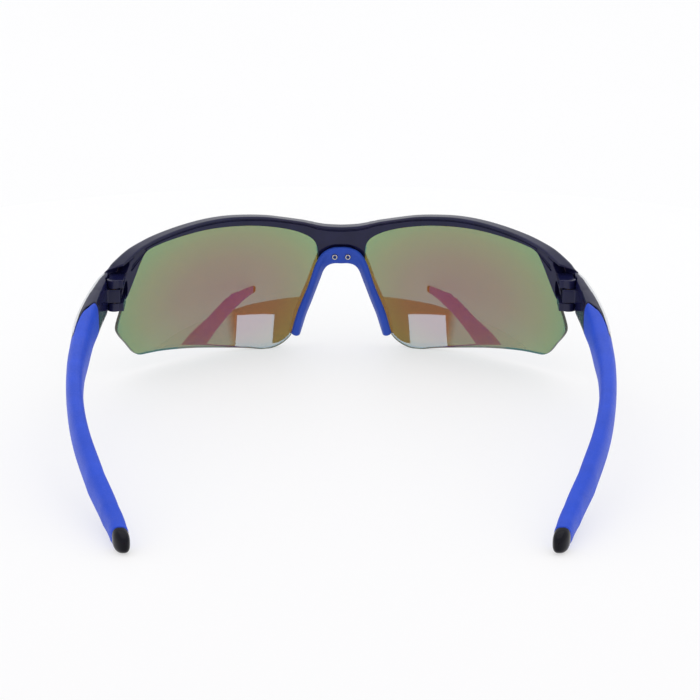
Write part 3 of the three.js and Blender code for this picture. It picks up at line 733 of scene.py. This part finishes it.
def pad_frame(place):
    """The middle of the surface that touches the nose, its across vector and its normal."""

    def ends(t):
        x1, z1, d1, x2, z2, d2 = row_at(PAD_STATIONS, t)
        return wrapped(x1, z1, d1), wrapped(x2, z2, d2)

    near = 0.05
    last = len(PAD_STATIONS) - 1
    inner, outer = ends(place)
    a1, a2 = ends(max(place - near, 0))
    b1, b2 = ends(min(place + near, last))
    along = b1 + b2 - a1 - a2 if place > 0 else np.array([1.0, 0, 0])
    across = outer - inner
    normal = np.cross(across, along)
    return (inner + outer) / 2, across, normal / np.linalg.norm(normal)


def pad_ring(place, shrink=1.0):
    centre, across, normal = pad_frame(place)
    thickness = SADDLE_THICKNESS
    thickness += WING_EXTRA * eased((place - WING_START) / (WING_FULL - WING_START))
    angle = np.arange(PAD_AROUND) * 2 * math.pi / PAD_AROUND
    middle = centre + normal * thickness / 2
    wide = shrink * rounded(np.cos(angle), PAD_SQUARENESS)[:, None] * across[None] / 2
    thick = shrink * rounded(np.sin(angle), PAD_SQUARENESS)[:, None] * normal[None] * thickness / 2
    return middle[None] + wide + thick


NOSE_SCREW_X, NOSE_SCREW_Z, NOSE_SCREW_DEPTH = 1.8, 26.2, -4.3
# Turned profiles, as radius and distance behind the face of the screw's head.
NOSE_SCREW_SEAT = [(1.05, -2), (1.05, -0.25), (0.87, 0.05), (0.87, 0.62)]
NOSE_SCREW_HEAD = [
    (0.02, 0.9), (0.38, 0.9), (0.42, 0.1), (0.47, 0), (0.62, 0), (0.71, 0.05),
    (0.75, 0.14), (0.75, 0.5), (0.5, 0.55),
]
HINGE_SCREW_HEAD = [(0.02, 0), (0.95, 0), (1.12, 0.07), (1.2, 0.2), (1.2, 0.8), (0.7, 0.8)]


def placed(profile, start):
    return [(radius, start + along) for radius, along in profile]


def make_pad():
    last = len(PAD_STATIONS) - 1
    half = [pad_ring(place) for place in np.linspace(0, last, 64)]
    step = half[-1].mean(0) - half[-2].mean(0)
    step /= np.linalg.norm(step)
    for turn in np.linspace(0, math.pi / 2, 7)[1:]:
        ring = pad_ring(last, max(math.cos(turn), 0.03))
        half.append(ring + step * PAD_END * math.sin(turn))
    pad = new_piece("nose_piece", tip_to_tip(half))
    face = wrapped(NOSE_SCREW_X, NOSE_SCREW_Z, NOSE_SCREW_DEPTH)[1]
    seat = lathe(placed(NOSE_SCREW_SEAT, face), (NOSE_SCREW_X, NOSE_SCREW_Z), "y")
    combine(pad, [new_piece("seat", seat, sign) for sign in (1, -1)])
    shade(pad, sharp=40)
    return pad


finished(make_pad(), "front", [pad_rubber], "nose_pad")

# ---- Screws ----

BEVEL = 0.15  # at a shank's end
NOSE_SHANK, NOSE_SHANK_DEPTH = 0.5, 0.9
HINGE_SHANK = 0.7
HINGE_SHANK_SHORT = 0.8  # how far the shank ends below the upper lug's top
DRIVER_SLOT = (4, 0.36, 0.35)  # length, width and depth


def shank(radius, end):
    return [(radius, end - BEVEL), (radius - BEVEL, end)]


def nose_screw():
    face = wrapped(NOSE_SCREW_X, NOSE_SCREW_Z, NOSE_SCREW_DEPTH)[1]
    end = wrapped(NOSE_SCREW_X, NOSE_SCREW_Z, NOSE_SHANK_DEPTH)[1]
    profile = placed(NOSE_SCREW_HEAD, face) + shank(NOSE_SHANK, end)
    return lathe(profile, (NOSE_SCREW_X, NOSE_SCREW_Z), "y")


def hinge_screw():
    end = UPPER_LUG[1] - HINGE_SHANK_SHORT
    profile = placed(HINGE_SCREW_HEAD, LOWER_LUG[0]) + shank(HINGE_SHANK, end)
    return lathe(profile, (HINGE_X, HINGE_Y))


def driver_slot():
    length, width, depth = DRIVER_SLOT
    low = (HINGE_X - length / 2, HINGE_Y - width / 2, LOWER_LUG[0] - PAST)
    return box(low, (HINGE_X + length / 2, HINGE_Y + width / 2, LOWER_LUG[0] + depth))


for side, sign in SIDES.items():
    screw = new_piece("pad_screw_" + side, nose_screw(), sign)
    shade(screw, sharp=35)
    finished(screw, "front", [steel], "nose_screw_" + side)
    screw = new_piece("pivot_screw_" + side, hinge_screw(), sign)
    combine(screw, [new_piece("slot", driver_slot(), sign)])
    shade(screw, sharp=35)
    finished(screw, "front", [steel], "hinge_screw_" + side)

# ---- Temples ----

# Sections of the whole temple, front to rear: y, outer face x, thickness, top z, bottom z, and the
# exponent of the rounded section, which is 1 for an ellipse and 0 for a box.
TEMPLE = np.array([
    [45.5, 63, 2.6, 30, 20.4, 0.42],
    [42, 64.3, 2.8, 29.5, 19.7, 0.42],
    [39, 65.2, 3.2, 29, 19, 0.44],
    [35, 66.3, 3.8, 28.3, 18.1, 0.5],
    [28, 67.8, 4.7, 27.2, 16.8, 0.62],
    [20, 68.8, 5.1, 26, 15.8, 0.7],
    [8, 69, 5, 24.1, 14.4, 0.74],
    [-5, 68.6, 4.5, 22.5, 13.4, 0.74],
    [-20, 67.2, 4.2, 20, 11.2, 0.74],
    [-36, 64.4, 4.3, 16.7, 8.1, 0.74],
    [-53, 59.7, 4.5, 12, 4, 0.74],
    [-65, 55.4, 4.4, 8.2, 1.2, 0.74],
    [-72, 53, 4.2, 6, 0.2, 0.74],
    [-75, 52, 3.9, 5.2, -0.1, 0.74],
    [-78.4, 51, 3.7, 4.6, -0.2, 0.74],
])
TEMPLE_FRONT_Y, TEMPLE_REAR_Y = 45.5, -78.2
TANG_END_Y, SLEEVE_END_Y = -8, -73.6
SLEEVE_WALL = 1.0
SLEEVE_LIP = 0.3  # radius of the edges at its ends
WIRE_ROOM = 1.0  # radius of the hole round the bendable wire
AROUND = 72
ANGLES = (np.arange(AROUND) + 0.5) * 2 * math.pi / AROUND


def temple_point(y, angle, inset):
    """A point of the temple's skin: angle 0 faces out, a quarter turn up."""
    _, outer, thickness, top, bottom, power = row_where(TEMPLE, y)
    wide = thickness / 2 - inset
    tall = (top - bottom) / 2 - inset
    x = outer - thickness / 2 + wide * rounded(np.cos(angle), power)
    z = (top + bottom) / 2 + tall * rounded(np.sin(angle), power)
    return np.array([x, y, max(z, 0.0)])


def skin_ring(y_at, inset):
    return np.array([temple_point(y_at(a), a, inset) for a in ANGLES])


# Where the sleeve starts: at one y on the inner face, and further back on the outer face. The angles
# count from the middle of the outer part.
SEAM_Y = 28.2
SEAM_BACK = 17.7
SEAM_MIDDLE = math.radians(15)
SEAM_HALF = math.radians(105)
SEAM_RUN = math.radians(60)
SEAM_GAP = 0.35
SEAM_ARC = 4  # about how far the seam runs round the temple, in mm per radian


def seam_y(angle):
    off = abs((angle - SEAM_MIDDLE + 3 * math.pi) % (2 * math.pi) - math.pi)
    share = min(max((SEAM_HALF - off) / SEAM_RUN, 0), 1)
    return SEAM_Y - SEAM_BACK * share**2


def shoulder_y(angle):
    """Where the arm's skin ends, so that the gap is equally wide where the seam runs along."""
    near = 0.05
    slope = (seam_y(angle + near) - seam_y(angle - near)) / (2 * near * SEAM_ARC)
    return seam_y(angle) + SEAM_GAP * math.hypot(1, slope)


def core_ring(y):
    """A round ring about the temple's middle line, for the hole that the wire lies in."""
    _, outer, thickness, top, bottom, _ = row_where(TEMPLE, y)
    middle = np.array([outer - thickness / 2, y, (top + bottom) / 2])
    return middle[None] + WIRE_ROOM * np.stack([np.cos(ANGLES), 0 * ANGLES, np.sin(ANGLES)], 1)


def lip_steps(radius):
    """Steps round an edge: how far behind its end and how far inside the skin each one lies."""
    turns = np.linspace(0, math.pi / 2, 5)
    return [(radius * (1 - math.cos(t)), radius * (1 - math.sin(t))) for t in turns]


def between(start_y, end_y, share):
    """The y at a share of the way from one end to the other, for each angle."""
    return lambda a: start_y(a) + (end_y - start_y(a)) * share


def sleeve_shape():
    lips = lip_steps(SLEEVE_LIP)
    rings = [skin_ring(lambda a, b=back: seam_y(a) - b, inset) for back, inset in lips]
    rings += [skin_ring(between(seam_y, SLEEVE_END_Y, s), 0) for s in np.linspace(0.01, 0.992, 90)]
    rings += [skin_ring(lambda a, b=back: SLEEVE_END_Y + b, inset) for back, inset in lips[::-1]]
    past = TANG_END_Y - GAP
    inner = [skin_ring(between(seam_y, past, s), SLEEVE_WALL) for s in np.linspace(0, 1, 16)]
    inner += [core_ring(y) for y in np.linspace(past, SLEEVE_END_Y, 24)]
    return loft(rings + inner[::-1], loop=True)


# The bright blade on the outside: its y, and the angles of its lower and upper edges.
TRIM = np.array([
    [44.6, 30, 76],
    [40, 4, 76],
    [34, -10, 73],
    [28, -6, 69],
    [22, 8, 66],
    [16, 28, 62],
    [12, 44, 58],
], float)
TRIM_AROUND = 14
TRIM_FLARE = 9  # degrees that a millimetre of margin adds at each edge
TRIM_PROUD = 0.3
TRIM_DEPTH = 0.5
BED_PROUD = 2.3  # how far the cutter of the blade's bed stands proud of the skin
NOTCH_CLEAR = 9  # carries the arm's notch past its skin, above and below the barrel
NOTCH_INNER_X, NOTCH_FRONT_Y = HINGE_X - 4, 50


def trim_shape(proud, deep, margin):
    """The blade, with thin edges, or, where it has a margin, the cutter that makes its bed."""
    widen = TRIM_FLARE * margin
    edge = np.minimum(1, np.sqrt(np.linspace(0, 1, TRIM_AROUND) * 8))
    rise = np.full(TRIM_AROUND, proud) if margin else proud * edge * edge[::-1]
    rings = []
    for y in np.linspace(TRIM[0][0] + margin, TRIM[-1][0] - margin, 64):
        _, low, high = row_where(TRIM, y)
        angles = np.radians(np.linspace(low - widen, high + widen, TRIM_AROUND))
        top = [temple_point(y, a, -p) for a, p in zip(angles, rise)]
        bottom = [temple_point(y, a, deep) for a in angles[::-1]]
        rings.append(np.array(top + bottom))
    return loft(rings)


def arm_shape():
    def skin_y(share):
        return lambda a: TEMPLE_FRONT_Y + (shoulder_y(a) - TEMPLE_FRONT_Y) * share

    skin = [skin_ring(skin_y(s), 0) for s in np.linspace(0, 1, 36)]
    places = np.linspace(0, 1, 16)
    tang = [skin_ring(between(shoulder_y, TANG_END_Y, s), SLEEVE_WALL + GAP) for s in places]
    return loft(skin + tang)


def barrel_shape():
    back = -HINGE_RADIUS
    corners = [(-HINGE_RADIUS, back), (BARREL_REACH, back), (BARREL_REACH, BARREL_FRONT)]
    return hinge_prism(corners, BARREL_ARC, BARREL)


def make_arm(side, sign):
    arm = new_piece("arm_" + side, arm_shape(), sign)
    below, above = BARREL[0] - NOTCH_CLEAR, BARREL[1] + NOTCH_CLEAR
    far_corner = (HINGE_X + LUG_SIDE + GAP, NOTCH_FRONT_Y, above)
    notch = box((NOTCH_INNER_X, HINGE_Y, below), far_corner)
    bed = trim_shape(BED_PROUD, TRIM_DEPTH + GAP, margin=GAP)
    shapes = (turned(HINGE_RADIUS + GAP, below, above), notch, bed)
    combine(arm, [new_piece("cut", shape, sign) for shape in shapes])
    combine(arm, [new_piece("barrel", barrel_shape(), sign)], "UNION")
    bore = turned(BUSH_HOLE, BARREL[0] - PAST, BARREL[1] + PAST)
    combine(arm, [new_piece("bore", bore, sign)])
    soften(arm, voxel=0.16, rounds=3)
    shade(arm)
    return arm


TIP_ROUND_LENGTH, TIP_ROUND_INSET = 3.2, 2.1  # the rounding of the end cap's rear end
TIP_LIP = 0.25
WIRE_HOLE_Y = (-75.9, -75.5)  # the last two rings of the wire's hole in the end cap


def tip_shape():
    round_y = TEMPLE_REAR_Y + TIP_ROUND_LENGTH
    front = SLEEVE_END_Y - GAP
    rings = [core_ring(y) for y in (*WIRE_HOLE_Y, front - TIP_LIP, front)]
    rings += [skin_ring(lambda a, b=back: front - b, inset) for back, inset in lip_steps(TIP_LIP)]
    rings += [skin_ring(lambda a, y=y: y, 0) for y in np.linspace(front - TIP_LIP, round_y, 8)[1:]]
    for share in np.linspace(0, 0.985, 22)[1:]:
        turn = share * math.pi / 2
        y = round_y - TIP_ROUND_LENGTH * math.sin(turn)
        rings.append(skin_ring(lambda a: y, TIP_ROUND_INSET * (1 - math.cos(turn))))
    return loft(rings)


for side, sign in SIDES.items():
    body = "temple_" + side
    finished(make_arm(side, sign), body, [navy], "temple_arm_" + side)
    sleeve = new_piece("sleeve_" + side, sleeve_shape(), sign)
    shade(sleeve, sharp=50)
    finished(sleeve, body, [rubber], "temple_sleeve_" + side)
    tip = new_piece("end_cap_" + side, tip_shape(), sign)
    shade(tip, sharp=50)
    finished(tip, body, [black], "temple_tip_" + side)
    trim = new_piece("blade_" + side, trim_shape(TRIM_PROUD, TRIM_DEPTH, margin=0), sign)
    shade(trim, sharp=40)
    finished(trim, body, [chrome], "temple_trim_" + side)

# ---- Floor and light ----

FLOOR_Z = -3
FLOOR_BOTTOM = -5
FLOOR_RADIUS = 2400
TURNTABLE_Z = -0.01  # just clear of what stands on it
TURNTABLE_RADIUS = 250
TURNTABLE_AT = (0, -3.6)
TURNTABLE_EDGE = [(0, FLOOR_Z), (0, -0.8), (-0.4, -0.2), (-1, TURNTABLE_Z)]  # from its radius


def stage_white():
    """A pale floor that glows a little, which keeps the shadows on it faint."""
    made = Finish("pale_floor", Roughness=0.6, Specular_IOR_Level=0.2, Emission_Strength=0.56)
    made.set("Emission Color", (1, 1, 1, 1))
    pale = (0.38, 0.38, 0.382)
    tone = tuple(0.985 * c for c in pale)
    made.set("Base Color", made.ramp(made.noise(6), (0.3, tone), (0.7, pale)))
    return made.material


def disc(name, radius, edge, at, sides):
    """A flat disc from the profile of its outer edge, from its bottom up."""
    middle = 0.5  # radius of the flat middles of its faces
    profile = [(radius + out, z) for out, z in edge]
    profile = [(middle, edge[0][1]), *profile, (middle, edge[-1][1])]
    return new_piece(name, lathe(profile, at, sides=sides))


floor = disc("floor", FLOOR_RADIUS, [(0, FLOOR_BOTTOM), (0, FLOOR_Z)], (0, 0), sides=96)
turntable = disc("turntable", TURNTABLE_RADIUS, TURNTABLE_EDGE, TURNTABLE_AT, sides=360)
shade(turntable, sharp=40)
pale_floor = stage_white()
for stage in (floor, turntable):
    stage.data.materials.append(pale_floor)

world = bpy.data.worlds.new("studio")
bpy.context.scene.world = world
world.use_nodes = True

WALL_COLOR = (0.96, 0.965, 0.98, 1)
BAND_COLOR = (0.24, 0.24, 0.25, 1)
# The band takes the directions, of length 1, whose Z and Y lie in these.
BAND_Z = (-0.03, 0.42)
BAND_Y = (-1.2, -0.8)


def room(tree):
    """A white studio with a dark low band behind the camera."""
    new, link = tree.nodes.new, tree.links.new

    def product(a, b):
        both = new("ShaderNodeMath")
        both.operation = "MULTIPLY"
        link(a, both.inputs[0])
        link(b, both.inputs[1])
        return both.outputs[0]

    def window(value, low, high, blur):
        """1 between two limits and 0 outside them."""
        rise, fall = new("ShaderNodeMapRange"), new("ShaderNodeMapRange")
        for node, start, end in ((rise, low - blur, low + blur), (fall, high + blur, high - blur)):
            node.inputs["From Min"].default_value = start
            node.inputs["From Max"].default_value = end
            link(value, node.inputs["Value"])
        return product(rise.outputs[0], fall.outputs[0])

    apart = new("ShaderNodeSeparateXYZ")
    link(new("ShaderNodeTexCoord").outputs["Generated"], apart.inputs[0])
    low_band = window(apart.outputs["Z"], *BAND_Z, 0.03)
    behind = window(apart.outputs["Y"], *BAND_Y, 0.02)
    mix = new("ShaderNodeMix")
    mix.data_type = "RGBA"
    link(product(low_band, behind), mix.inputs[0])
    mix.inputs[6].default_value = WALL_COLOR
    mix.inputs[7].default_value = BAND_COLOR
    backdrop = next(n for n in tree.nodes if n.type == "BACKGROUND")
    link(mix.outputs[2], backdrop.inputs["Color"])


room(world.node_tree)


def panel(name, at, to, size, power, color):
    """A rectangular soft light, placed and aimed in metres, with its power in watts."""
    data = bpy.data.lights.new(name, "AREA")
    data.shape = "RECTANGLE"
    data.size, data.size_y = size
    data.energy = power
    data.color = color
    light = bpy.data.objects.new(name, data)
    bpy.context.scene.collection.objects.link(light)
    light.location = at
    light.rotation_euler = (Vector(to) - Vector(at)).to_track_quat("-Z", "Y").to_euler()
    return light


panel("key", at=(0.0, 0.1, 1.1), to=(0, 0, 0), size=(1.2, 0.9), power=1.75, color=(1, 1, 1))
SOFTBOX_ROLL = math.radians(10)
for side, sign in SIDES.items():
    at, to = (sign * -0.87, -1.695, 0.288), (sign * -0.024, 0.071, 0.006)
    softbox = panel("softbox_" + side, at, to, size=(0.53, 0.35), power=2.2, color=(1.0, 0.5, 0.6))
    softbox.rotation_euler.rotate_axis("Z", sign * SOFTBOX_ROLL)
bpy.context.scene.view_settings.view_transform = "Standard"
